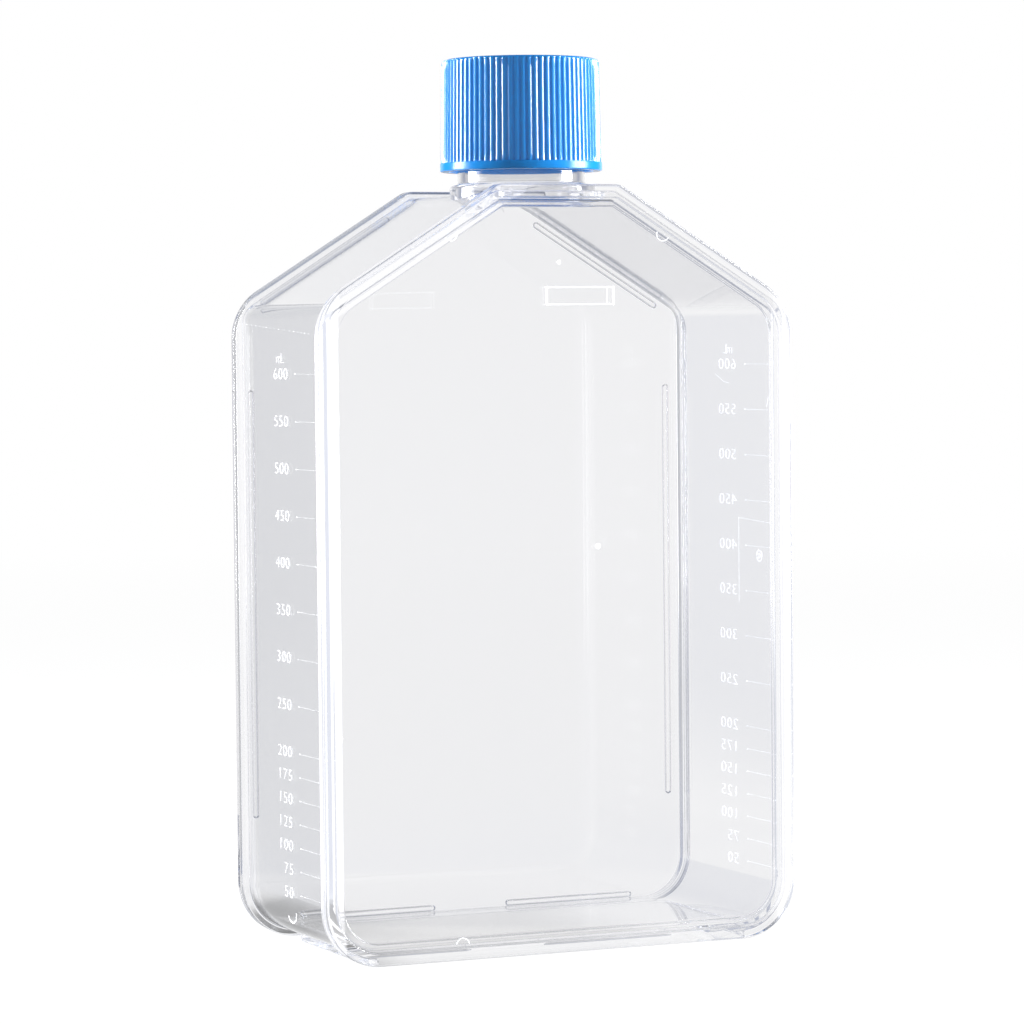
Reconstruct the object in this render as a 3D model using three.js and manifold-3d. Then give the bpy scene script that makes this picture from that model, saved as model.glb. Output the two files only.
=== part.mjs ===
// Rectangular straight-neck cell culture flask, standing on its end wall with the neck up.
// Millimetres, +Z up, +X across the flask. The moulded body faces -Y, the growth plate faces +Y.
import * as THREE from 'three';
import { mergeVertices } from 'three/addons/utils/BufferGeometryUtils.js';
import Module from 'manifold-3d';

const wasm = await Module();
wasm.setup();

// ---------------------------------------------------------------- driving dimensions
// House-shaped outline shared by the front rim and the weld flange
const flaskWidth = 112;
const crownHeight = 166.3; // flat top between the roof slopes
const crownWidth = 28.8;
const shoulderDrop = 25.8; // the straight sides end this far below the crown
const rimRadii = { base: 12.8, shoulder: 12.8, crown: 4 };

// Moulded body, from the front rim to the weld face
const bodyDepth = 52.2;
const wallThickness = 1.5;
const wallRecess = 1.6; // side walls, roof and end wall stand in from the rims by this
const wallRadii = { base: 11, shoulder: 5, crown: 3 };
const rimDepth = 3.2;
const rimEdgeRadius = 0.45;
const landWidth = 2.8; // flat face of the front rim
const landHeight = 1.0; // from the ledge up to the land
const ledgeWidth = 1.8;
const ledgeHeight = 0.8; // from the front panel up to the ledge
const panelThickness = 1.5;
const flangeThickness = 1.6;
const weldEdgeRadius = 0.25; // edges of the flange and plate, which leave a fine groove at the weld

// Standing pad under the end wall, flush with the two rims
const padInset = 10.5; // from each side of the flask
const padEndMargin = 5.2; // the pad stops this far short of the flange
const padCornerRadius = 4;

// Growth plate, welded to the flange
const plateThickness = 1.6;
const ribInsets = { side: 5.4, base: 3.6, slope: 4.4 }; // rib centre lines, from the plate's outline
const ribWidth = 1.6;
const ribHeight = 0.8;
const sideRibMargins = { base: 27.3, shoulder: 19.1 }; // upright ribs stop this far short
const baseRibMargins = { middle: 9.5, side: 16 };
const slopeRibMargin = 7; // slope ribs stop this far short of the shoulder and crown

// Neck
const neckAxisDepth = 20.6; // behind the front of the rim
const neckRadius = 14;
const neckWall = 1.6;
const collarFlare = 1.8; // how far the collar stands out from the neck
const collarRise = 2.1; // above the roof

// Screw cap
const capGap = 2.9; // collar to cap
const capHeight = 24.5;
const capTopThickness = 1.6;
const bandProud = 0.2; // past the crests of the grip ribs
const bandHeight = 1.9;
const bandChamfer = 0.35;
const skirtThickness = 1.85; // from the thread room out to the valleys between the ribs
const ribCount = 80;
const ribTaper = 0.35; // how much smaller the crests are at the top
const ribDepth = 0.25;
const ribTopSetback = 0.8; // ribs end this far below the cap's top
const capEdgeRadius = 1.0;
const threadRoom = 1.5; // between the neck and the cap's skirt, where the threads run
const sealThickness = 0.9;
const sealDepth = 3.2; // how far the seal ring reaches into the neck
const sealClearance = 0.3;
const sealLeadIn = 0.35; // taper at the end of the ring
const lipClearance = 0.3; // between the neck's lip and the cap's ceiling

// Fineness of round shapes
const outlineSegments = 3; // curve divisions of an outline corner, two facets each
const turnedSegments = 80;

// ---------------------------------------------------------------- shared places
const shoulderHeight = crownHeight - shoulderDrop;
const plateOuterFace = bodyDepth + plateThickness;
const overallDepth = plateOuterFace + ribHeight;
const cavityInset = wallRecess + wallThickness;
const panelFace = landHeight + ledgeHeight;
const roofHeight = crownHeight - wallRecess;
const collarTop = roofHeight + collarRise;
const capBase = collarTop + capGap;
const capTop = capBase + capHeight;
const capCeiling = capTop - capTopThickness;
const neckLip = capCeiling - lipClearance;
const boreRadius = neckRadius - neckWall;
const collarRadius = neckRadius + collarFlare;
const capCavityRadius = neckRadius + threadRoom;
const ribValleyRadius = capCavityRadius + skirtThickness;
const ribCrestRadius = ribValleyRadius + ribDepth;
const bandRadius = ribCrestRadius + bandProud;
const slopeAngle = Math.atan2(shoulderDrop, (flaskWidth - crownWidth) / 2);
const overlap = 0.5; // joined solids run into each other by this

// ---------------------------------------------------------------- solids from geometries
function toSolid(geometry) {
  const bare = geometry.clone();
  for (const name of ['normal', 'uv']) bare.deleteAttribute(name);
  const merged = mergeVertices(bare, 1e-4);
  const position = merged.getAttribute('position');
  return new wasm.Manifold(new wasm.Mesh({
    numProp: 3,
    vertProperties: new Float32Array(position.array),
    triVerts: new Uint32Array(merged.getIndex().array),
  }));
}

function toGeometry(solid) {
  const mesh = solid.getMesh();
  const geometry = new THREE.BufferGeometry();
  geometry.setAttribute('position', new THREE.BufferAttribute(mesh.vertProperties, 3));
  geometry.setIndex(new THREE.BufferAttribute(mesh.triVerts, 1));
  geometry.computeVertexNormals();
  return geometry;
}

function union(solids) {
  return solids.reduce((sum, solid) => sum.add(solid));
}

// ---------------------------------------------------------------- outlines
// A closed shape through counter-clockwise corners, each [x, z, radius]
function roundedShape(corners) {
  const shape = new THREE.Shape();
  corners.forEach(([x, z, radius], i) => {
    const corner = new THREE.Vector2(x, z);
    const [before, after] = [corners.at(i - 1), corners[(i + 1) % corners.length]]
      .map(([nx, nz]) => new THREE.Vector2(nx, nz).sub(corner).normalize());
    const halfAngle = Math.acos(before.dot(after)) / 2;
    const run = radius / Math.tan(halfAngle);
    const centre = before.clone().add(after).setLength(radius / Math.sin(halfAngle)).add(corner);
    const [from, to] = [before, after]
      .map((side) => side.clone().multiplyScalar(run).add(corner).sub(centre).angle());
    shape.absarc(centre.x, centre.y, radius, from, to, false);
  });
  shape.closePath();
  return shape;
}

// The house outline moved in by an inset, with its corner radii
function houseShape(inset, { base, shoulder, crown }) {
  const side = flaskWidth / 2 - inset;
  const bend = shoulderHeight - (inset * (1 - Math.sin(slopeAngle))) / Math.cos(slopeAngle);
  const top = crownHeight - inset;
  const flat = crownWidth / 2 - (inset * (1 - Math.cos(slopeAngle))) / Math.sin(slopeAngle);
  return roundedShape([
    [-side, inset, base],
    [side, inset, base],
    [side, bend, shoulder],
    [flat, top, crown],
    [-flat, top, crown],
    [-side, bend, shoulder],
  ]);
}

function shrunk({ base, shoulder, crown }, amount) {
  const least = 0.6;
  return {
    base: Math.max(base - amount, least),
    shoulder: Math.max(shoulder - amount, least),
    crown: Math.max(crown - amount, least),
  };
}

// A shape drawn in X and Z, run from one depth to another along Y, its edges rounded if asked
function slab(shape, from, to, edge = 0) {
  const geometry = new THREE.ExtrudeGeometry(shape, {
    depth: to - from - 2 * edge,
    curveSegments: outlineSegments,
    bevelEnabled: edge > 0,
    bevelThickness: edge,
    bevelSize: edge,
    bevelOffset: -edge,
    bevelSegments: 2,
  });
  geometry.translate(0, 0, edge - to);
  geometry.rotateX(Math.PI / 2);
  return toSolid(geometry);
}

// A closed profile of [radius, height] points turned about the neck's axis
function turned(profile, segments = turnedSegments) {
  const points = profile.map(([radius, height]) => new THREE.Vector2(radius, height));
  const geometry = new THREE.LatheGeometry(points, segments);
  geometry.rotateX(Math.PI / 2);
  geometry.translate(0, neckAxisDepth, 0);
  return toSolid(geometry);
}

// A quarter round from one point to another, for a turned profile
function quarterRound(centreX, centreY, radius, from, steps = 4) {
  return Array.from({ length: steps + 1 }, (_, i) => {
    const angle = from + (i / steps) * (Math.PI / 2);
    return [centreX + radius * Math.cos(angle), centreY + radius * Math.sin(angle)];
  });
}

// ---------------------------------------------------------------- flask body
// One moulding: stepped front rim and panel, walls, roof, end wall, neck and weld flange
function flaskBody() {
  const rim = slab(houseShape(0, rimRadii), 0, rimDepth, rimEdgeRadius);
  const walls = slab(houseShape(wallRecess, wallRadii), rimDepth - overlap, bodyDepth - overlap);
  const flangeFront = bodyDepth - flangeThickness;
  const flange = slab(houseShape(0, rimRadii), flangeFront, bodyDepth, weldEdgeRadius);
  const shell = union([rim, walls, flange, standingPad()]);

  const ledgeInset = landWidth;
  const panelInset = landWidth + ledgeWidth;
  const ledgeCut = slab(houseShape(ledgeInset, shrunk(rimRadii, ledgeInset)), -overlap, landHeight);
  const panelCut = slab(houseShape(panelInset, shrunk(rimRadii, panelInset)), -overlap, panelFace);
  const cavity = slab(
    houseShape(cavityInset, shrunk(wallRadii, wallThickness)),
    panelFace + panelThickness,
    bodyDepth + overlap,
  );

  const bore = turned([
    [0, roofHeight - 3 * wallThickness],
    [boreRadius, roofHeight - 3 * wallThickness],
    [boreRadius, neckLip + overlap],
    [0, neckLip + overlap],
  ]);
  return shell.subtract(ledgeCut).subtract(panelCut).add(neck()).subtract(cavity).subtract(bore);
}

// Raised pad that lets the flask stand level on its end
function standingPad() {
  const halfWidth = flaskWidth / 2 - padInset;
  const front = rimDepth - overlap;
  const back = bodyDepth - flangeThickness - padEndMargin;
  const shape = roundedShape([
    [-halfWidth, front, padCornerRadius],
    [halfWidth, front, padCornerRadius],
    [halfWidth, back, padCornerRadius],
    [-halfWidth, back, padCornerRadius],
  ]);
  const geometry = new THREE.ExtrudeGeometry(shape, {
    depth: wallRecess + overlap,
    curveSegments: outlineSegments,
    bevelEnabled: false,
  });
  return toSolid(geometry);
}

// Neck tube on a collar that spreads it over the crown and the tops of the slopes
function neck() {
  // The collar reaches down through the slopes beside the crown; the cavity trims what is inside
  const roofFall = Math.max(0, collarRadius - crownWidth / 2 + wallRecess) * Math.tan(slopeAngle);
  const foot = roofHeight - wallThickness - roofFall;
  const lipRound = 0.5;
  return turned([
    [0, foot],
    [collarRadius, foot],
    ...quarterRound(collarRadius - 1, collarTop - 1, 1, 0),
    [neckRadius, collarTop],
    ...quarterRound(neckRadius - lipRound, neckLip - lipRound, lipRound, 0, 2),
    [0, neckLip],
  ]);
}

// ---------------------------------------------------------------- growth plate
// Flat plate welded over the open back, with stacking ribs outside
function growthPlate() {
  const plate = slab(houseShape(0, rimRadii), bodyDepth, plateOuterFace, weldEdgeRadius);
  return union([plate, ...stackingRibs()]);
}

// A bar with round ends between two points of the plate's outer face
function rib([x1, z1], [x2, z2]) {
  const angle = Math.atan2(z2 - z1, x2 - x1);
  const radius = ribWidth / 2;
  const shape = new THREE.Shape();
  shape.absarc(x2, z2, radius, angle - Math.PI / 2, angle + Math.PI / 2, false);
  shape.absarc(x1, z1, radius, angle + Math.PI / 2, angle + (3 * Math.PI) / 2, false);
  shape.closePath();
  return slab(shape, plateOuterFace - overlap, plateOuterFace + ribHeight);
}

function stackingRibs() {
  const side = flaskWidth / 2 - ribInsets.side;
  const sideEnds = [sideRibMargins.base, shoulderHeight - sideRibMargins.shoulder];
  const baseEnds = [baseRibMargins.middle, flaskWidth / 2 - baseRibMargins.side];
  const along = new THREE.Vector2(Math.cos(slopeAngle), -Math.sin(slopeAngle));
  const inward = new THREE.Vector2(-Math.sin(slopeAngle), -Math.cos(slopeAngle));
  const onSlope = (x, z, way) => new THREE.Vector2(x, z)
    .addScaledVector(along, way * slopeRibMargin)
    .addScaledVector(inward, ribInsets.slope);
  const high = onSlope(crownWidth / 2, crownHeight, 1);
  const low = onSlope(flaskWidth / 2, shoulderHeight, -1);
  return [-1, 1].flatMap((hand) => [
    rib([hand * side, sideEnds[0]], [hand * side, sideEnds[1]]),
    rib([hand * baseEnds[0], ribInsets.base], [hand * baseEnds[1], ribInsets.base]),
    rib([hand * high.x, high.y], [hand * low.x, low.y]),
  ]);
}

// ---------------------------------------------------------------- screw cap
// Moulded cap: plain band, ribbed grip with a slight taper, and a seal ring that enters the neck
function screwCap() {
  const crownRadius = ribValleyRadius - ribTaper;
  const sealOuter = boreRadius - sealClearance;
  const sealInner = sealOuter - sealThickness;
  const shell = turned([
    [0, capBase],
    [bandRadius - bandChamfer, capBase],
    [bandRadius, capBase + bandChamfer],
    [bandRadius, capBase + bandHeight],
    [ribValleyRadius, capBase + bandHeight],
    ...quarterRound(crownRadius - capEdgeRadius, capTop - capEdgeRadius, capEdgeRadius, 0),
    [0, capTop],
  ]);
  const cavity = turned([
    [0, capBase - overlap],
    [capCavityRadius, capBase - overlap],
    [capCavityRadius, capCeiling],
    [0, capCeiling],
  ]);
  const sealEnd = neckLip - sealDepth;
  const seal = turned([
    [sealInner, sealEnd],
    [sealOuter - sealLeadIn, sealEnd],
    [sealOuter, sealEnd + 2 * sealLeadIn],
    [sealOuter, capCeiling + overlap],
    [sealInner, capCeiling + overlap],
    [sealInner, sealEnd],
  ]);
  return shell.add(gripRibs()).subtract(cavity).add(seal);
}

// Ring of upright ribs, leaning in with the cap's taper towards their tops
function gripRibs() {
  const pitch = (2 * Math.PI) / ribCount;
  const ridge = [[0.12, 0], [0.4, 1], [0.6, 1], [0.88, 0]]; // share of the pitch, share of the depth
  const root = ribValleyRadius - overlap;
  const points = [];
  for (let i = 0; i < ribCount; i += 1) {
    for (const [share, rise] of ridge) {
      const radius = root + rise * (ribCrestRadius - root);
      const angle = (i + share) * pitch;
      points.push(new THREE.Vector2(radius * Math.cos(angle), radius * Math.sin(angle)));
    }
  }
  const from = capBase + bandHeight - overlap;
  const height = capTop - ribTopSetback - from;
  const geometry = new THREE.ExtrudeGeometry(new THREE.Shape(points), {
    depth: height,
    bevelEnabled: false,
  });
  const position = geometry.getAttribute('position');
  for (let i = 0; i < position.count; i += 1) {
    const scale = 1 - (ribTaper / ribCrestRadius) * (position.getZ(i) / height);
    position.setX(i, position.getX(i) * scale);
    position.setY(i, position.getY(i) * scale);
  }
  geometry.translate(0, neckAxisDepth, from);
  return toSolid(geometry);
}

// ---------------------------------------------------------------- assembly
const polystyrene = new THREE.MeshStandardMaterial({
  color: 0xe6ebf2,
  roughness: 0.06,
  metalness: 0,
  transparent: true,
  opacity: 0.35,
});
const capPlastic = new THREE.MeshStandardMaterial({ color: 0x2f8fd8, roughness: 0.32, metalness: 0 });

function piece(name, solid, material) {
  const mesh = new THREE.Mesh(toGeometry(solid), material);
  mesh.name = name;
  return mesh;
}

const flask = new THREE.Group();
flask.add(
  piece('flask_body', flaskBody(), polystyrene),
  piece('growth_plate', growthPlate(), polystyrene.clone()),
  piece('screw_cap', screwCap(), capPlastic),
);
// The origin lies under the middle of the flask's outline box
flask.position.y = -overallDepth / 2;

export default flask;
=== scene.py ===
"""Clear cell culture flask with a blue ribbed screw cap, standing on its end wall. Metres, +Z up, front
rim at -Y. The flask's own sizes are written in millimetres and scaled as each mesh is made."""
import math

import bmesh
import bpy
from mathutils import Matrix, Vector


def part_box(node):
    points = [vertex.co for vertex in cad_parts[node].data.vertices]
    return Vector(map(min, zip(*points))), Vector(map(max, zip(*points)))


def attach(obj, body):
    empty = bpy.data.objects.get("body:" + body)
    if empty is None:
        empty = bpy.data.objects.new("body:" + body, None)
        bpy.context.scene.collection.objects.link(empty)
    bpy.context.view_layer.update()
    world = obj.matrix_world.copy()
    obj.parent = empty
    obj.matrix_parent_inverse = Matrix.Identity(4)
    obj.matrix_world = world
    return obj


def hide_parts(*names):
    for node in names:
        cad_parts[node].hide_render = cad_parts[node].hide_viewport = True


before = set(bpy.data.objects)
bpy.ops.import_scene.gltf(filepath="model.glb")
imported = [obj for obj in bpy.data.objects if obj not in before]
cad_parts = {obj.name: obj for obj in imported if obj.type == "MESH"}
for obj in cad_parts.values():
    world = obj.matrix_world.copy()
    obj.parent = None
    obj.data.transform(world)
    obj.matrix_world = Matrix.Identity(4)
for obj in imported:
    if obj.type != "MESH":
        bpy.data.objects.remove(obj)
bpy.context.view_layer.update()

# ---------------------------------------------------------------- moulded body
# The body is one injection moulding in clear polystyrene: a stepped front rim round a flat panel,
# thin side walls, a sloping roof with the neck on its crown, and a flange round the open back.
mm = 0.001
body_low, body_high = (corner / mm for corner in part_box("flask_body"))
plate_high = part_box("growth_plate")[1] / mm
cap_low, cap_high = (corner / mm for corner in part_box("screw_cap"))
flask_width = body_high.x - body_low.x
front = body_low.y
weld_face = body_high.y
crown_height = plate_high.z
neck_lip = body_high.z
neck_y = (cap_low.y + cap_high.y) / 2
crown_width = 28.8
shoulder_drop = 25.8
slope = math.atan2(shoulder_drop, (flask_width - crown_width) / 2)
rim_radii = (12.8, 12.8, 4.0)  # base, shoulder and crown corners
wall_recess = 1.6
wall_thickness = 1.5
wall_radii = (11.0, 5.0, 3.0)


def rounded(corners, steps, closed=True):
    """Points of a line through corners, each (point, radius), with an exact arc at each corner."""
    points = []
    for i, (point, radius) in enumerate(corners):
        point = Vector(point)
        if not closed and i in (0, len(corners) - 1):
            points.append(point)
            continue
        before = Vector(corners[i - 1][0]) - point
        after = Vector(corners[(i + 1) % len(corners)][0]) - point
        half = before.to_2d().angle(after.to_2d()) / 2
        run = radius / math.tan(half)
        start = point + before * (run / before.to_2d().length)
        end = point + after * (run / after.to_2d().length)
        for step in range(steps + 1):
            s = step / steps
            a, b, c = (1 - s) ** 2, 2 * s * (1 - s) * math.sin(half), s**2
            points.append((start * a + point * b + end * c) / (a + b + c))
    return points


def house(inset, y, base, shoulder, crown, steps=20):
    """The house-shaped outline of the flask, moved in by inset, as a ring of points at depth y."""
    side = flask_width / 2 - inset
    lift = (1 - math.sin(slope)) / math.cos(slope)
    bend = crown_height - shoulder_drop - inset * lift
    top = crown_height - inset
    flat = crown_width / 2 - inset * (1 - math.cos(slope)) / math.sin(slope)
    corners = [
        ((-side, inset), base),
        ((side, inset), base),
        ((side, bend), shoulder),
        ((flat, top), crown),
        ((-flat, top), crown),
        ((-side, bend), shoulder),
    ]
    return [Vector((p.x, y, p.y)) for p in rounded(corners, steps)]


def shrunk(radii, amount):
    return tuple(max(radius - amount, 0.6) for radius in radii)


def loft(rings):
    """A mesh through rings of equally many points, with its ends filled."""
    mesh = bmesh.new()
    rows = [[mesh.verts.new(point) for point in ring] for ring in rings]
    count = len(rows[0])
    for a, b in zip(rows, rows[1:]):
        for i in range(count):
            j = (i + 1) % count
            mesh.faces.new((a[i], a[j], b[j], b[i]))
    mesh.faces.new(rows[0][::-1])
    mesh.faces.new(rows[-1])
    bmesh.ops.recalc_face_normals(mesh, faces=mesh.faces)
    return mesh


def turned(profile, segments=144):
    """A solid of revolution about the neck's axis, from (radius, height) points that end on the axis."""
    rings = [
        [
            Vector((r * math.cos(a), neck_y + r * math.sin(a), z))
            for a in (math.tau * k / segments for k in range(segments))
        ]
        for r, z in profile
    ]
    return loft(rings)


def solid(mesh, name):
    """A new object from a bmesh in millimetres."""
    data = bpy.data.meshes.new(name)
    mesh.to_mesh(data)
    mesh.free()
    data.transform(Matrix.Scale(mm, 4))
    obj = bpy.data.objects.new(name, data)
    bpy.context.scene.collection.objects.link(obj)
    return obj


def settle(obj):
    """Applies an object's modifiers to its mesh."""
    evaluated = obj.evaluated_get(bpy.context.evaluated_depsgraph_get())
    data = bpy.data.meshes.new_from_object(evaluated)
    obj.modifiers.clear()
    old = obj.data
    obj.data = data
    bpy.data.meshes.remove(old)


def combine(obj, tools, operation):
    """Joins tools to obj or cuts them from it, and removes them."""
    for tool in tools:
        boolean = obj.modifiers.new("combine", "BOOLEAN")
        boolean.object = tool
        boolean.operation = operation
        boolean.solver = "MANIFOLD"
        settle(obj)
        bpy.data.objects.remove(tool)


def polish(obj, sharp=32):
    """Smooth shading that keeps flat faces flat and edges over the sharp angle crisp."""
    obj.data.polygons.foreach_set("use_smooth", [True] * len(obj.data.polygons))
    obj.data.set_sharp_from_angle(angle=math.radians(sharp))
    normals = obj.modifiers.new("normals", "WEIGHTED_NORMAL")
    normals.keep_sharp = True
    normals.weight = 100
    settle(obj)


rim_depth = 3.2
land_width, land_depth = 2.8, 1.0
ledge_width, ledge_depth = 1.8, 0.8
panel_thickness = 1.5
flange_depth = 1.6
panel_inset = land_width + ledge_width
panel_y = front + land_depth + ledge_depth
wall_start = front + rim_depth
flange_y = weld_face - flange_depth
land_radii = shrunk(rim_radii, land_width)
panel_radii = shrunk(rim_radii, panel_inset)
outside = [
    ((panel_inset + 4, panel_y, *shrunk(rim_radii, panel_inset + 4)), 0),
    ((panel_inset, panel_y, *panel_radii), 0.35),
    ((panel_inset, front + land_depth, *panel_radii), 0.2),
    ((land_width, front + land_depth, *land_radii), 0.25),
    ((land_width, front, *land_radii), 0.25),
    ((0, front, *rim_radii), 0.45),
    ((0, wall_start, *rim_radii), 0.45),
    ((wall_recess, wall_start, *wall_radii), 0.4),
    ((wall_recess, flange_y, *wall_radii), 0.4),
    ((0, flange_y, *rim_radii), 0.25),
    ((0, weld_face, *rim_radii), 0.25),
    ((wall_recess, weld_face, *wall_radii), 0),
]


def rings_of(profile, steps=6):
    """Outline rings along a profile whose points hold an inset, a depth and the three corner radii."""
    return [house(*point) for point in rounded(profile, steps, closed=False)]


flask = solid(loft(rings_of(outside)), "flask_shell")
cavity_inset = wall_recess + wall_thickness
cavity_radii = shrunk(wall_radii, wall_thickness)
cavity_front = panel_y + panel_thickness
inside = [
    ((cavity_inset + 3, cavity_front, *shrunk(cavity_radii, 3)), 0),
    ((cavity_inset, cavity_front, *cavity_radii), 1.0),
    ((cavity_inset, weld_face + 1, *cavity_radii), 0),
]

# Collar, neck and thread
neck_radius = 14.0
bore_radius = 12.4
collar_radius = 15.8
collar_top = crown_height - wall_recess + 2.1
neck_foot = crown_height - wall_recess - wall_thickness - 1.2
neck_profile = rounded(
    [
        ((0, neck_foot), 0),
        ((collar_radius, neck_foot), 0.1),
        ((collar_radius, collar_top), 1.0),
        ((neck_radius, collar_top), 0.5),
        ((neck_radius, neck_lip), 0.5),
        ((0, neck_lip), 0),
    ],
    6,
    closed=False,
)


def helix_ridge(name, root, crest, pitch, turns, start, width, steps=72):
    """A tapering screw thread ridge about the neck's axis, from a root radius to a crest radius."""
    rings = []
    total = round(turns * steps)
    for k in range(total + 1):
        angle = math.tau * k / steps
        rise = min(1, min(k, total - k) / (steps / 8) + 0.02)
        peak = root + (crest - root) * rise
        height = start + pitch * k / steps
        section = [
            (root, -width / 2),
            (root + (peak - root) * 0.85, -width * 0.28),
            (peak, -width * 0.14),
            (peak, width * 0.14),
            (root + (peak - root) * 0.85, width * 0.28),
            (root, width / 2),
        ]
        rings.append([
            Vector((r * math.cos(angle), neck_y + r * math.sin(angle), height + z))
            for r, z in section
        ])
    return solid(loft(rings), name)


neck = solid(turned(neck_profile), "neck")
thread_pitch, thread_turns = 4.2, 2.1
neck_thread = helix_ridge(
    "neck_thread", neck_radius - 0.4, neck_radius + 0.6, thread_pitch, thread_turns, start=177.5, width=2.2,
)
combine(neck, [neck_thread], "UNION")

# The standing pad under the end wall is flush with the rims
pad_inset = 10.5
pad_back = flange_y - 5.2
pad_radius = 4.0


def plan(inset, z):
    """The pad's outline seen from below, as a ring of points at height z."""
    side = flask_width / 2 - pad_inset - inset
    near, far = wall_start - 0.5 + inset, pad_back - inset
    corners = [(-side, near), (side, near), (side, far), (-side, far)]
    return [Vector((p.x, p.y, z)) for p in rounded([(c, pad_radius) for c in corners], 8)]


pad_profile = rounded([((1, 0), 0), ((0, 0), 0.3), ((0, wall_recess + 0.5), 0)], 4, closed=False)
pad = solid(loft([plan(*point) for point in pad_profile]), "pad")

bore_profile = [
    ((0, crown_height - 8), 0),
    ((bore_radius, crown_height - 8), 0.1),
    ((bore_radius, neck_lip), 0.45),
    ((bore_radius + 1, neck_lip), 0.1),
    ((bore_radius + 1, neck_lip + 1), 0.1),
    ((0, neck_lip + 1), 0),
]
bore = solid(turned(rounded(bore_profile, 5, closed=False)), "bore")
cavity = solid(loft(rings_of(inside)), "cavity")
combine(flask, [neck, pad], "UNION")
combine(flask, [cavity, bore], "DIFFERENCE")
polish(flask)


class Socket:
    """A shader node output that Python arithmetic turns into Math nodes. Its vector and axis methods add
    Vector Math and Separate XYZ nodes."""

    tree = None

    def __init__(self, output):
        self.output = output

    @classmethod
    def of(cls, kind, settings=None, outlet=0, **inputs):
        """The output of a new node with its settings made first, then its sockets filled by name."""
        node = cls.tree.nodes.new(kind)
        for key, value in (settings or {}).items():
            setattr(node, key, value)
        for key, value in inputs.items():
            at = int(key[1:]) if key[0] == "_" and key[1:].isdigit() else key.replace("_", " ")
            if isinstance(value, Socket):
                cls.tree.links.new(value.output, node.inputs[at])
            else:
                node.inputs[at].default_value = value
        return cls(node.outputs[outlet])

    def math(self, operation, other=0.0, swap=False):
        a, b = (other, self) if swap else (self, other)
        return Socket.of("ShaderNodeMath", {"operation": operation}, _0=a, _1=b)

    def vector(self, operation, other=(0, 0, 0), outlet=0):
        return Socket.of("ShaderNodeVectorMath", {"operation": operation}, outlet, _0=self, _1=other)

    def axis(self, name):
        return Socket.of("ShaderNodeSeparateXYZ", outlet=name, _0=self)

    def __add__(self, other):
        return self.math("ADD", other)

    def __mul__(self, other):
        return self.math("MULTIPLY", other)

    def __sub__(self, other):
        return self.math("SUBTRACT", other)

    def __rsub__(self, other):
        return self.math("SUBTRACT", other, swap=True)

    def __gt__(self, other):
        return self.math("GREATER_THAN", other)

    __radd__ = __add__
    __rmul__ = __mul__


def finish_of(name, build):
    """A material whose surface is the shader socket that build returns."""
    material = bpy.data.materials.new(name)
    material.use_nodes = True
    Socket.tree = material.node_tree
    Socket.tree.nodes.clear()
    surface = build()
    output = Socket.tree.nodes.new("ShaderNodeOutputMaterial")
    Socket.tree.links.new(surface.output, output.inputs["Surface"])
    return material


def ramp(value, low, high, start=0.0, end=1.0, smooth=False):
    """Goes from start to end as a value goes from low to high, and stays level beyond."""
    return Socket.of(
        "ShaderNodeMapRange", {"interpolation_type": "SMOOTHSTEP" if smooth else "LINEAR"},
        Value=value, From_Min=low, From_Max=high, To_Min=start, To_Max=end,
    )


def past(value, limit, spread=0.2):
    """0 below a limit in millimetres and 1 above it, with a soft step between."""
    return ramp(value, (limit - spread) * mm, (limit + spread) * mm)


def blend(share, without, full):
    return Socket.of("ShaderNodeMix", {"data_type": "RGBA"}, outlet="Result", _0=share, _6=without, _7=full)


no_glow = (0, 0, 0, 1)
wall_tint = (0.978, 0.978, 0.984, 1)
# Painted shade: a greyer roof, greyer still on the right, a greyer neck and blue-grey roof edges
painted_left_roof_shade = (0.93, 0.932, 0.95, 1)
painted_right_roof_shade = (0.8, 0.802, 0.82, 1)
painted_neck_shade = (0.84, 0.84, 0.85, 1)
painted_flange_edge_shade = (0.36, 0.4, 0.5, 1)
painted_front_edge_shade = (0.7, 0.73, 0.84, 1)
shadow_tint = (0.93, 0.94, 0.96, 1)
# Painted glow in the front rim, standing in for light that runs round inside it
painted_rim_glow = (0.28, 0.28, 0.285, 1)
right_rim_share = 0.24  # of the rim's glow, against 1 on the left
roof_rim_share = 0.4


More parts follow.
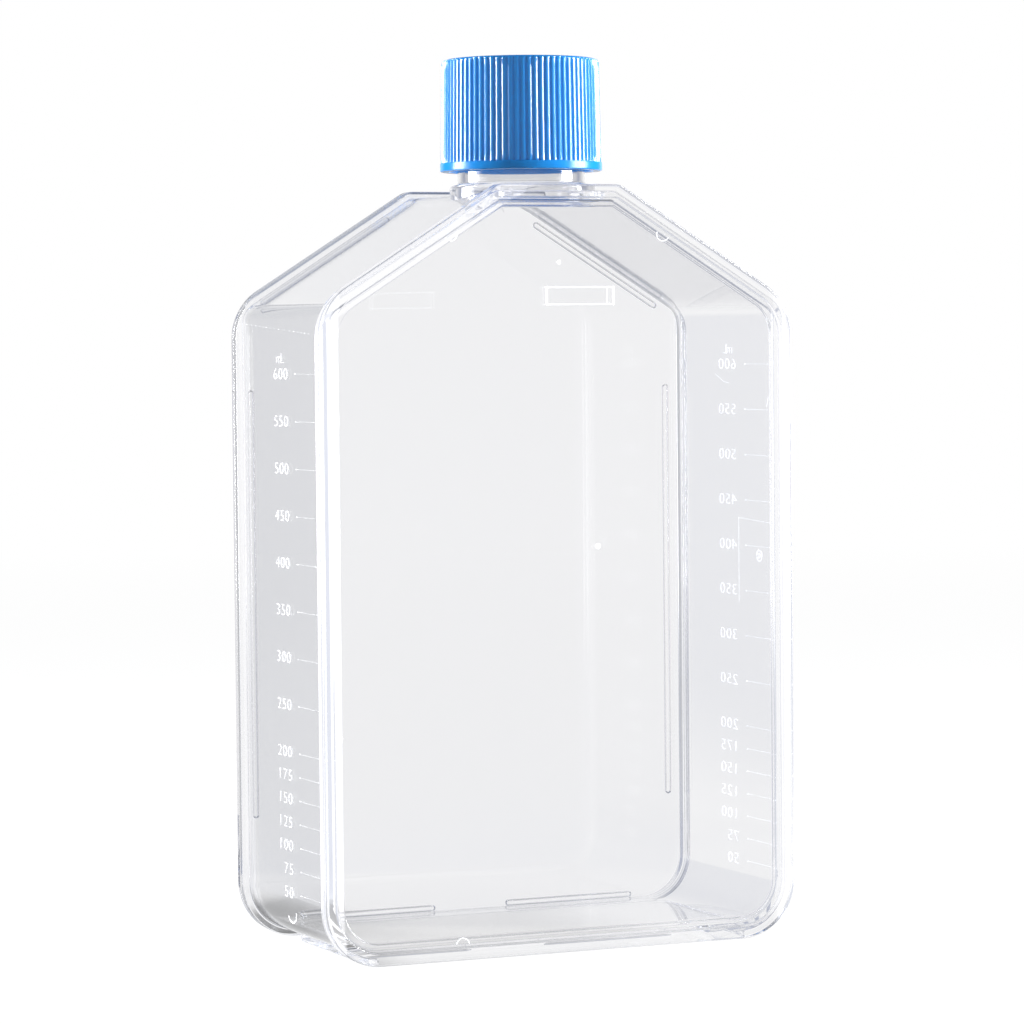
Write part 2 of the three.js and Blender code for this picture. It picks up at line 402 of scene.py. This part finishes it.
def clear_polystyrene():
    """Glass-clear polystyrene, with painted shade: the roof and the neck a little greyer, the right of the
    roof more, and the roof's outer edges blue-grey. A painted glow lights the front rim, most of it on the
    left."""
    point = Socket.of("ShaderNodeTexCoord", outlet="Object")
    across, depth, height = (point.axis(name) for name in "XYZ")
    left = past(across * -1.0, 0, 8.0)
    across = across.math("ABSOLUTE")
    shoulder = crown_height - shoulder_drop
    roof = past(height, shoulder + 0.5, 1.5) * past(depth, wall_start + 0.5) * (1.0 - past(depth, flange_y))
    # Painted shade: the roof and the neck greyer, the right of the roof most
    tint = blend(roof, wall_tint, blend(left, painted_right_roof_shade, painted_left_roof_shade))
    tint = blend(past(height, collar_top, 0.4), tint, painted_neck_shade)
    up_slope = across * math.sin(slope) + height * math.cos(slope)
    eaves = flask_width / 2 * math.sin(slope) + shoulder * math.cos(slope)
    outer_edge = past(up_slope, eaves - 0.5).math("MAXIMUM", past(height, crown_height - 0.5))
    # Painted shade: blue-grey lines along the roof's outer edges at the back flange and, on the right, at
    # the front rim
    tint = blend(outer_edge * past(depth, flange_y - 0.3), tint, painted_flange_edge_shade)
    front_rim = 1.0 - past(depth, wall_start)
    tint = blend(outer_edge * front_rim * (1.0 - left), tint, painted_front_edge_shade)
    # Painted glow: the front rim's sides, most on the left, and the left part of the roof's rim
    beside = past(across, flask_width / 2 - panel_inset) * (right_rim_share + (1 - right_rim_share) * left)
    above = past(up_slope, eaves - panel_inset) * left * roof_rim_share
    painted_rim_light = blend(beside.math("MAXIMUM", above) * front_rim, no_glow, painted_rim_glow)
    flow = Socket.of("ShaderNodeTexNoise", Vector=point, Scale=38.0, Detail=1.0)
    normal = Socket.of("ShaderNodeBump", Height=flow, Strength=0.012, Distance=0.0004)
    plastic = Socket.of(
        "ShaderNodeBsdfPrincipled",
        Base_Color=tint,
        Roughness=0.0,
        IOR=1.59,
        Transmission_Weight=1.0,
        Emission_Color=painted_rim_light,
        Emission_Strength=1.0,
        Normal=normal,
    )
    lit = Socket.of("ShaderNodeBsdfTransparent", Color=shadow_tint)
    shadow = Socket.of("ShaderNodeLightPath", outlet="Is Shadow Ray")
    return Socket.of("ShaderNodeMixShader", _0=shadow, _1=plastic, _2=lit)


polystyrene = finish_of("clear_polystyrene", clear_polystyrene)


def place(obj, material, body, slot, *nodes):
    """Gives a finished piece its material and its body, and hides the nodes it stands for. The slot is not
    used.
    """
    obj.data.materials.clear()
    obj.data.materials.append(material)
    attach(obj, body)
    if nodes:
        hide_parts(*nodes)


place(flask, polystyrene, "flask", "clear_polystyrene", "flask_body")

# ---------------------------------------------------------------- growth plate
# The back of the flask is a flat plate of the same polystyrene, treated inside for cells to grip.
# It is moulded by itself and welded to the flange, with slim stacking ribs on its outer face.
weld_seam = 0.02
plate_front = weld_face + weld_seam
rib_rise = 0.8
plate_back = plate_high.y - rib_rise
edge_round = 0.25
plate_profile = [
    ((wall_recess, plate_front, *wall_radii), 0),
    ((0, plate_front, *rim_radii), edge_round),
    ((0, plate_back, *rim_radii), edge_round),
    ((wall_recess, plate_back, *wall_radii), 0),
]
plate = solid(loft(rings_of(plate_profile, steps=4)), "growth_window")
rib_width = 1.5
side_inset, base_inset, slope_inset = 5.4, 3.6, 4.4


def stacking_rib(start, end):
    """A bar with round ends between two (x, z) points of the plate's outer face."""
    start, end = Vector(start), Vector(end)
    along = (end - start).angle_signed(Vector((1, 0)))
    profile = [(rib_width / 2, plate_back - 0.5), (rib_width / 2, plate_back)]
    for k in range(1, 9):
        a = math.pi / 2 * k / 9
        profile.append((rib_width / 2 * math.cos(a), plate_back + rib_rise * math.sin(a)))
    profile.append((0.05, plate_high.y))
    rings = []
    for radius, y in profile:
        ring = []
        for centre, turn in ((end, -math.pi / 2), (start, math.pi / 2)):
            for k in range(13):
                a = along + turn + math.pi * k / 12
                ring.append(Vector((centre.x + radius * math.cos(a), y, centre.y + radius * math.sin(a))))
        rings.append(ring)
    return solid(loft(rings), "rib")


ribs = []
shoulder_height = crown_height - shoulder_drop
for hand in (-1, 1):
    side = hand * (flask_width / 2 - side_inset)
    ribs.append(stacking_rib((side, 27.3), (side, shoulder_height - 19.1)))
    ribs.append(stacking_rib((hand * 9.5, base_inset), (hand * (flask_width / 2 - 16), base_inset)))
    inward = Vector((-math.sin(slope), -math.cos(slope))) * slope_inset
    along = Vector((math.cos(slope), -math.sin(slope))) * 7
    high = Vector((crown_width / 2, crown_height)) + inward + along
    low = Vector((flask_width / 2, shoulder_height)) + inward - along
    ribs.append(stacking_rib((hand * high.x, high.y), (hand * low.x, low.y)))
combine(plate, ribs, "UNION")
polish(plate)
place(plate, polystyrene, "flask", "clear_polystyrene", "growth_plate")

# ---------------------------------------------------------------- volume scale
# The scale is part of the moulding: frosted figures and lines stand a little proud of both side
# walls, so that the flask can be read standing, with its marks starting at the front rim.
figure_height, figure_width, figure_pitch = 2.4, 2.2, 3.02
unit_height, unit_width, unit_pitch, unit_lift = 2.2, 1.7, 2.3, 3.4
scale_rise = 0.12
tick_front, tick_back, tick_width = wall_start + 0.05, front + 18.2, 0.07
bead_length, bead_width = 0.5, 0.34  # the bead that ends each line
lowest_mark, marks_span = 13.6, 112.4
figures_y = front + 27.2
right_raise = 0.9  # the right wall's scale sits a little higher
volumes = [*range(50, 200, 25), *range(200, 601, 50)]


def level(volume):
    """The height of a volume's mark on the left: the body's section is even, so the scale is straight."""
    return lowest_mark + (volume - volumes[0]) * marks_span / (volumes[-1] - volumes[0])


def glyph(letter, bold):
    """A letter's flat outline as a mesh of its own, in font units."""
    curve = bpy.data.curves.new("glyph", "FONT")
    curve.body = letter
    curve.extrude = 0.5
    curve.offset = bold
    curve.resolution_u = 4
    obj = bpy.data.objects.new("glyph", curve)
    bpy.context.scene.collection.objects.link(obj)
    data = bpy.data.meshes.new_from_object(obj.evaluated_get(bpy.context.evaluated_depsgraph_get()))
    bpy.data.objects.remove(obj)
    bpy.data.curves.remove(curve)
    return data


def extent(data, axis):
    values = [v.co[axis] for v in data.vertices]
    return min(values), max(values)


glyphs = {letter: glyph(letter, -0.02) for letter in "0123456789mL"}
zero_width = extent(glyphs["0"], 0)[1] - extent(glyphs["0"], 0)[0]
zero_height = extent(glyphs["0"], 1)[1]


def wall_text(mesh, hand, text, y, z, height, width, pitch):
    """Adds text to a mesh, reading level from outside the wall on that hand, centred on y."""
    outward = hand * (flask_width / 2 - wall_recess + 0.01)
    for k, letter in enumerate(text):
        data = glyphs[letter].copy()
        low, high = extent(data, 0)
        across = (k - (len(text) - 1) / 2) * pitch
        fit = (
            Matrix.Translation((outward, y + hand * across, z))
            @ Matrix(((0, 0, hand, 0), (hand, 0, 0, 0), (0, 1, 0, 0), (0, 0, 0, 1)))
            @ Matrix.Diagonal((width / zero_width, height / zero_height, scale_rise, 1))
            @ Matrix.Translation((-(low + high) / 2, -zero_height / 2, 0.5))
        )
        data.transform(fit)
        mesh.from_mesh(data)
        bpy.data.meshes.remove(data)


def wall_bar(mesh, hand, y0, y1, z, thickness):
    """Adds a fine raised line along the wall, with a rounded crest."""
    base = hand * (flask_width / 2 - wall_recess + 0.01)
    section = [(0, -0.5), (0.7, -0.35), (1, 0), (0.7, 0.35), (0, 0.5)]
    rings = [
        [mesh.verts.new((base + hand * r * scale_rise, y, z + s * thickness)) for r, s in section]
        for y in (y0, y1)
    ]
    for i in range(len(section)):
        j = (i + 1) % len(section)
        mesh.faces.new((rings[0][i], rings[0][j], rings[1][j], rings[1][i]))
    mesh.faces.new(rings[0][::-1])
    mesh.faces.new(rings[1])


def frosted_relief(glow):
    """White frosted relief. Its glow is painted light, standing in for the light it would scatter out of the
    clear wall.
    """
    point = Socket.of("ShaderNodeTexCoord", outlet="Object")
    grain = Socket.of("ShaderNodeTexNoise", Vector=point, Scale=9000.0, Detail=2.0)
    normal = Socket.of("ShaderNodeBump", Height=grain, Strength=0.3, Distance=0.00005)
    return Socket.of(
        "ShaderNodeBsdfPrincipled",
        Base_Color=(0.98, 0.985, 1.0, 1),
        Roughness=0.55,
        Emission_Color=(0.96, 0.98, 1.0, 1),
        Emission_Strength=glow,
        Normal=normal,
    )


# The left scale's relief has a faint painted glow; the right scale and the moulding marks a much stronger
# one
frosted = finish_of("frosted_relief", lambda: frosted_relief(glow=0.08))
frosted_painted_glow = finish_of("frosted_relief_painted_glow", lambda: frosted_relief(glow=0.6))
for hand, name, raised, finish in (
    (-1, "volume_scale_left", 0, frosted),
    (1, "volume_scale_right", right_raise, frosted_painted_glow),
):
    scale = bmesh.new()
    for volume in volumes:
        z = level(volume) + raised
        text = str(volume)
        inner = figures_y - (3 - len(text)) / 2 * figure_pitch
        wall_text(scale, hand, text, inner, z, figure_height, figure_width, figure_pitch)
        wall_bar(scale, hand, tick_front, tick_back, z, tick_width)
        wall_bar(scale, hand, tick_back, tick_back + bead_length, z, bead_width)
    unit_z = level(volumes[-1]) + raised + unit_lift
    wall_text(scale, hand, "mL", figures_y, unit_z, unit_height, unit_width, unit_pitch)
    bmesh.ops.recalc_face_normals(scale, faces=scale.faces)
    place(solid(scale, name), finish, "flask", "clear_polystyrene")

# ---------------------------------------------------------------- moulding marks
# The tool left its marks in the front panel, the rim and the walls: a bare framed panel for a label,
# the rings of ejector pins, two gate marks, a bracket by the right-hand scale, and light scratches.
marks = bmesh.new()


def stroke(mesh, points, width, outward, rise=0.08):
    """Adds a low ridge with flat ends along points of a face, standing out along its outward normal."""
    outward = Vector(outward)
    section = [(-0.5, 0), (-0.3, 1), (0.3, 1), (0.5, 0)]
    rings = []
    for k, point in enumerate(points):
        ahead = points[min(k + 1, len(points) - 1)] - points[max(k - 1, 0)]
        across = ahead.cross(outward).normalized() * width
        rings.append([mesh.verts.new(point + across * u + outward * (v * rise + 0.005)) for u, v in section])
    for a, b in zip(rings, rings[1:]):
        for i in range(4):
            j = (i + 1) % 4
            mesh.faces.new((a[i], a[j], b[j], b[i]))
    mesh.faces.new(rings[0][::-1])
    mesh.faces.new(rings[-1])


def on_panel(x, z, depth=panel_y):
    return Vector((x, depth, z))


def on_wall(hand, behind_rim, z):
    """A point of a side wall's outer face, a distance behind the front of the rim."""
    return Vector((hand * (flask_width / 2 - wall_recess), front + behind_rim, z))


def arc(centre, radius, start, end, steps=20):
    """Points round a centre on a face that stands square to Y, between two angles in degrees."""
    angles = [math.radians(start + (end - start) * k / steps) for k in range(steps + 1)]
    return [centre + Vector((radius * math.cos(a), 0, radius * math.sin(a))) for a in angles]


forward = (0, -1, 0)
frame_left, frame_right, frame_foot, frame_head = -3.1, 13.4, 140.3, 144.3
# The framed panel, with a light line near its right end
for x, width in ((frame_left + 0.32, 0.64), (frame_right - 0.25, 0.5)):
    stroke(marks, [on_panel(x, frame_foot), on_panel(x, frame_head)], width, forward)
for z, width in ((frame_head - 0.16, 0.32), (frame_foot + 0.14, 0.28)):
    stroke(marks, [on_panel(frame_left, z), on_panel(frame_right, z)], width, forward)
frame_line = frame_right - 1.7
line_ends = [on_panel(frame_line, frame_foot + 0.3), on_panel(frame_line, frame_head - 0.3)]
stroke(marks, line_ends, 0.14, forward, 0.04)

# Two gate marks on the panel, and parts of ejector rings on the rim's ledge
for x, z, radius in ((0.3, 149.5, 0.4), (9.0, 87.9, 0.55)):
    stroke(marks, arc(on_panel(x, z), radius, 0, 345), 0.16, forward)
    stroke(marks, arc(on_panel(x, z), radius * 0.35, 0, 345), radius * 0.6, forward)
ejector_radius = 1.5
ejector_arcs = (
    (-53.0, 92.9, -80, 80),
    (-53.0, 48.9, -60, 75),
    (-24.2, 3.2, 10, 170),
    (-25.4, 155.6, -150, 20),
    (24.9, 155.6, 160, 330),
)
for x, z, start, end in ejector_arcs:
    stroke(marks, arc(on_panel(x, z, front + land_depth), ejector_radius, start, end), 0.22, forward)


def wall_mark(hand, points, width, rise=0.08):
    """Adds a ridge to a side wall, along points that lie a distance behind the rim's front and a height."""
    stroke(marks, [on_wall(hand, *point) for point in points], width, (hand, 0, 0), rise)


# The right wall's ejector ring, its bracket and two scratches
ring_behind, ring_z = 12.0, 84.0
ring_turns = [math.tau * k / 24 for k in range(24)]
for radius, width in ((1.25, 0.25), (0.5, 0.3)):
    circle = [(ring_behind + radius * math.cos(t), ring_z + radius * math.sin(t)) for t in ring_turns]
    wall_mark(1, circle, width)
wall_mark(1, [(21.9, 73), (21.9, 92.3)], 0.1, 0.04)
wall_mark(1, [(21.9, 92.2), (4.0, 91.4)], 0.08, 0.03)
wall_mark(1, [(7.2, 119.6), (8.0, 117.4)], 0.16)
wall_mark(1, [(33.0, 124.6), (29.0, 122.9), (26.5, 122.6)], 0.1, 0.04)

# The left wall's dotted scratch under the shoulder, and a curl of flash low down
scratch_dots = 16
for k in range(scratch_dots):
    share = (k + 0.35 * math.sin(7.0 * k)) / scratch_dots
    behind_rim, z = 48 - 41 * share, 136.8 - 2.4 * share
    length = 0.25 + 0.2 * math.sin(4.1 * k)
    wall_mark(-1, [(behind_rim, z), (behind_rim + length, z)], 0.14)
wall_mark(-1, [(21.6, 9.4), (21.9, 7.9), (23.4, 7.1), (25.2, 7.3), (26.4, 8.3)], 0.4, 0.05)
bmesh.ops.recalc_face_normals(marks, faces=marks.faces)
# The moulding marks take the stronger painted glow.
place(solid(marks, "moulding_marks"), frosted_painted_glow, "flask", "clear_polystyrene")

# ---------------------------------------------------------------- screw cap
# The cap is moulded in blue polyethylene: upright grip ribs over a plain band, a thread inside, and
# a seal ring that enters the neck. It screws down until its ceiling meets the neck's lip.
cap_base, cap_top = cap_low.z, cap_high.z
band_radius = (cap_high.x - cap_low.x) / 2
band_height = 1.9
rib_count = 80
crest_radius = band_radius - 0.2
rib_depth = 0.28
cap_taper = 0.35
cap_edge = 0.9
cap_cavity = 15.5
ceiling = cap_top - 1.6
# Half a rib's section, as shares of its pitch and its depth
rib_shape = [(0, 1), (0.14, 1), (0.2, 0.92), (0.46, 0.06), (0.5, 0)]
rib_stations = [-0.46, -0.2, -0.14, 0, 0.14, 0.2, 0.46, 0.5]


def ribbed(share, z):
    """The cap's outer radius: slim ribs with flat flanks over V grooves, leaning in to the top."""
    climb = max(0, (z - band_top) / (cap_top - band_top))
    share = abs(share)
    for (x0, y0), (x1, y1) in zip(rib_shape, rib_shape[1:]):
        if x0 <= share <= x1:
            height = y0 + (y1 - y0) * (share - x0) / (x1 - x0)
    wall = crest_radius - cap_taper * climb - rib_depth * (1 - height)
    up = max(0, min(1, (z - cap_top + cap_edge) / cap_edge))
    return min(wall, crest_radius - cap_taper * climb - cap_edge * (1 - math.sqrt(1 - up**2)))


def cap_ring(radius, z, ribs=False):
    ring = []
    for k in range(rib_count):
        for share in rib_stations:
            a = math.tau * (k + share) / rib_count
            r = ribbed(share, z) if ribs else radius
            ring.append(Vector((r * math.cos(a), neck_y + r * math.sin(a), z)))
    return ring


band_top = cap_base + band_height
seal_end = neck_lip - 3.2
seal_outer = bore_radius - 0.3
seal_inner = seal_outer - 0.9
below = [
    ((seal_inner - 3, ceiling), 0),
    ((seal_inner, ceiling), 0.3),
    ((seal_inner, seal_end), 0.3),
    ((seal_outer, seal_end), 0.35),
    ((seal_outer, ceiling), 0.3),
    ((cap_cavity, ceiling), 0.5),
    ((cap_cavity, cap_base), 0.3),
    ((band_radius, cap_base), 0.35),
    ((band_radius, band_top), 0.15),
    ((crest_radius, band_top), 0),
]
cap_rings = [cap_ring(*point) for point in rounded(below, 4, closed=False)[:-1]]
grip_steps, edge_steps = 16, 10
for k in range(grip_steps + 1):
    z = band_top + (cap_top - cap_edge - band_top) * k / grip_steps
    cap_rings.append(cap_ring(0, z, ribs=True))
for k in range(1, edge_steps + 1):
    z = cap_top - cap_edge * (1 - math.sin(math.pi / 2 * k / edge_steps))
    cap_rings.append(cap_ring(0, z, ribs=True))
cap = solid(loft(cap_rings), "ribbed_cap")
cap_thread = helix_ridge(
    "cap_thread", cap_cavity + 0.3, neck_radius + 0.9, thread_pitch, thread_turns, start=179.6, width=2.0,
)
combine(cap, [cap_thread], "UNION")
polish(cap, sharp=20)


deep_blue = (0.006, 0.3, 0.9, 1)
light_blue = (0.014, 0.345, 0.98, 1)
# Painted glow for the cap's inside
painted_skirt_glow = (0.02, 0.13, 0.4, 1)


def blue_polyethylene():
    """Glossy blue polyethylene with a faint moulded grain. The grip is glossier than the band, and a painted
    blue glow on the skirt's inside stands in for light that soaks through it."""
    point = Socket.of("ShaderNodeTexCoord", outlet="Object")
    flat = point.vector("MULTIPLY", (1, 1, 0))
    apart = flat.vector("DISTANCE", (0, neck_y * mm, 0), outlet="Value")
    # The painted glow covers the cap's inside, within the cavity's radius.
    inside = 1.0 - (apart > (cap_cavity + 0.4) * mm)
    painted_inside_glow = blend(inside, no_glow, painted_skirt_glow)
    cloud = Socket.of("ShaderNodeTexNoise", Vector=point, Scale=160.0, Detail=3.0)
    grain = Socket.of("ShaderNodeTexNoise", Vector=point, Scale=2600.0, Detail=2.0)
    normal = Socket.of("ShaderNodeBump", Height=grain, Strength=0.12, Distance=0.00004)
    above_band = past(point.axis("Z"), band_top, 0.05)
    return Socket.of(
        "ShaderNodeBsdfPrincipled",
        Base_Color=blend(cloud, deep_blue, light_blue),
        Roughness=0.18 + 0.06 * cloud - 0.06 * above_band,
        IOR=1.5,
        Coat_Weight=above_band,
        Coat_Roughness=0.045,
        Emission_Color=painted_inside_glow,
        Emission_Strength=1.0,
        Normal=normal,
    )


place(cap, finish_of("blue_polyethylene", blue_polyethylene), "cap", "blue_cap_plastic", "screw_cap")

# ---------------------------------------------------------------- studio
# A white sweep behind, a tall soft lamp on each side and a dim room elsewhere, on a pale floor. The
# flask's edges take their pale and blue-grey lines from these and from blue-grey painted shade on the roof's
# edges, and the floor keeps a soft shadow, with a painted shadow added for rays through the plastic. The
# lamps light the flask, and bright strips stand in for them in its reflections.
camera_data = bpy.data.cameras.new("camera")
camera_data.sensor_width = 36
camera_data.lens = 141.66
camera_data.clip_start = 0.01
camera = bpy.data.objects.new("camera", camera_data)
bpy.context.scene.collection.objects.link(camera)
yaw, pitch, roll = math.radians(24.06), math.radians(2.586), math.radians(-0.542)
ahead = Vector((math.sin(yaw) * math.cos(pitch), math.cos(yaw) * math.cos(pitch), -math.sin(pitch)))
level_right = Vector((math.cos(yaw), -math.sin(yaw), 0))
level_up = level_right.cross(ahead)
right = level_right * math.cos(roll) + level_up * math.sin(roll)
up = level_up * math.cos(roll) - level_right * math.sin(roll)
turn = Matrix((right, up, -ahead)).transposed().to_4x4()
camera.matrix_world = Matrix.Translation((-0.3643, -0.816, 0.135)) @ turn
bpy.context.scene.camera = camera

floor_mesh = bmesh.new()
bmesh.ops.create_grid(floor_mesh, x_segments=1, y_segments=1, size=3000)
floor = solid(floor_mesh, "floor")
floor.location.z = -0.04 * mm  # a hair below the flask's foot


def around(bearing, distance, height):
    """A place round the flask, by its bearing from the direction the camera looks in."""
    a = yaw + math.radians(bearing)
    return Vector((distance * math.sin(a), distance * math.cos(a), height))


def soft_lamp(name, bearing, distance, width, height, power):
    """A tall soft lamp that stands on the floor and faces the flask."""
    data = bpy.data.lights.new(name, "AREA")
    data.shape = "RECTANGLE"
    data.size, data.size_y = width, height
    data.energy = power
    lamp = bpy.data.objects.new(name, data)
    bpy.context.scene.collection.objects.link(lamp)
    lamp.location = around(bearing, distance, height / 2 + 0.02)
    inward = Vector((-lamp.location.x, -lamp.location.y, 0))
    lamp.rotation_euler = inward.to_track_quat("-Z", "Y").to_euler()
    lamp.visible_camera = False
    lamp.visible_transmission = False


soft_lamp("left_lamp", bearing=-81, distance=0.9, width=0.36, height=0.9, power=16)
soft_lamp("right_lamp", bearing=89, distance=0.9, width=0.44, height=0.9, power=19)


def ray_kinds():
    """Whether a ray came from the camera, off a glossy surface or through the clear plastic."""
    kinds = ("Is Camera Ray", "Is Glossy Ray", "Is Transmission Ray")
    return [Socket.of("ShaderNodeLightPath", outlet=kind) for kind in kinds]


def lobe(direction, bearing, inner, outer):
    """1 within an inner angle of a bearing and 0 beyond an outer one, in degrees."""
    cosine = direction.vector("DOT_PRODUCT", around(bearing, 1, 0), outlet="Value")
    return ramp(cosine, math.cos(math.radians(outer)), math.cos(math.radians(inner)), smooth=True)


sweep_white = (1, 1, 1, 1)
strip_white = (5, 5, 5, 1)
room_colour = (0.09, 0.095, 0.105, 1)
ceiling_colour = (0.1, 0.11, 0.14, 1)
behind_reflected, behind_through = (0.06, 0.07, 0.1, 1), (0.47, 0.5, 0.6, 1)
front_reflected, front_through = (0.4, 0.41, 0.44, 1), (0.56, 0.565, 0.575, 1)


def surroundings(direction, seen, glossy, through, strips_share=1.0):
    """Colours by direction: a white sweep behind and, through the flask, in front; bright strips that
    stand for the lamps in reflections and, dimmer, in the plastic; and a room that is dimmer and bluer
    behind, with a dark ceiling. The camera itself sees white."""
    lift = direction.axis("Z")
    back_sweep = lobe(direction, 0, 22, 42) * ramp(lift, 0.27, 0.6, 1.0, 0.0)
    front_sweep = lobe(direction, 180, 26, 46) * through
    white = back_sweep.math("MAXIMUM", front_sweep).math("MAXIMUM", seen)
    strips = lobe(direction, -85, 10, 17) + lobe(direction, 88, 10, 17)
    strips = strips * glossy * (1.0 - 0.6 * through) * strips_share
    behind = blend(through, behind_reflected, behind_through)
    in_front = blend(through, front_reflected, front_through)
    lit_room = blend(lobe(direction, 180, 45, 125), behind, in_front)
    lit_room = blend(ramp(lift, 0.45, 0.8, 0.0, 0.8), lit_room, ceiling_colour)
    room = blend((glossy + through).math("MINIMUM", 1.0), room_colour, lit_room)
    return blend(strips, blend(white, room, sweep_white), strip_white)


def pale_floor():
    """A pale floor that keeps the flask's soft shadow and shows the sweep's glow. Seen through the
    plastic, it has a painted shadow: dimmer under the flask and darker under and behind its left end."""
    seen, glossy, through = ray_kinds()
    point = Socket.of("ShaderNodeTexCoord", outlet="Object")
    apart = point.vector("LENGTH", outlet="Value")
    direction = point.vector("ADD", around(0, 0.1, 0)).vector("NORMALIZE")
    far = ramp(apart, 0.25, 1.6)

    def patch(centre, half_x, half_y):
        """0 over a soft-edged rectangle of the floor and 1 outside it."""
        sides = point.vector("SUBTRACT", centre).vector("ABSOLUTE")
        outside = (sides.axis("X") - half_x).math("MAXIMUM", sides.axis("Y") - half_y)
        return ramp(outside, -0.017, 0.014, smooth=True)

    # Painted shadow, seen only by rays through the plastic: under the flask and, darker, under its left end.
    painted_shadow_under_flask = 0.6 + 0.4 * patch((-0.018, 0, 0), 0.036, 0.026)
    painted_shadow_left_end = 0.26 + 0.74 * patch((-0.053, 0.033, 0), 0.025, 0.036)
    under = 0.92 * painted_shadow_under_flask * painted_shadow_left_end
    brightness = ((under + 0.08 * far - 1.0) * through + 1.0) * (1.06 - 0.06 * far)
    paint = Socket.of("ShaderNodeBsdfDiffuse", Color=(0.86, 0.865, 0.87, 1))
    colour = Socket.of(
        "ShaderNodeVectorMath", {"operation": "SCALE"},
        _0=surroundings(direction, seen, glossy, through, ramp(apart, 0.6, 1.2)), Scale=brightness,
    )
    glow = Socket.of("ShaderNodeEmission", Color=colour, Strength=1.0)
    share = (seen + glossy + through) * (0.86 + 0.14 * far)
    return Socket.of("ShaderNodeMixShader", _0=share, _1=paint, _2=glow)


floor.data.materials.append(finish_of("pale_floor", pale_floor))


def studio_air():
    """What rays that leave the flask meet above the floor."""
    direction = Socket.of("ShaderNodeTexCoord", outlet="Generated")
    return Socket.of("ShaderNodeBackground", Color=surroundings(direction, *ray_kinds()), Strength=1.0)


world = bpy.data.worlds.new("studio_air")
world.use_nodes = True
Socket.tree = world.node_tree
Socket.tree.nodes.clear()
air = studio_air()
outlet = Socket.tree.nodes.new("ShaderNodeOutputWorld")
Socket.tree.links.new(air.output, outlet.inputs["Surface"])
scene = bpy.context.scene
scene.world = world
scene.view_settings.view_transform = "Standard"
rim_bounces = 160  # light runs round inside the clear rims
scene.cycles.max_bounces = rim_bounces
scene.cycles.transmission_bounces = rim_bounces
scene.cycles.glossy_bounces = rim_bounces
scene.cycles.caustics_reflective = False
scene.cycles.caustics_refractive = False
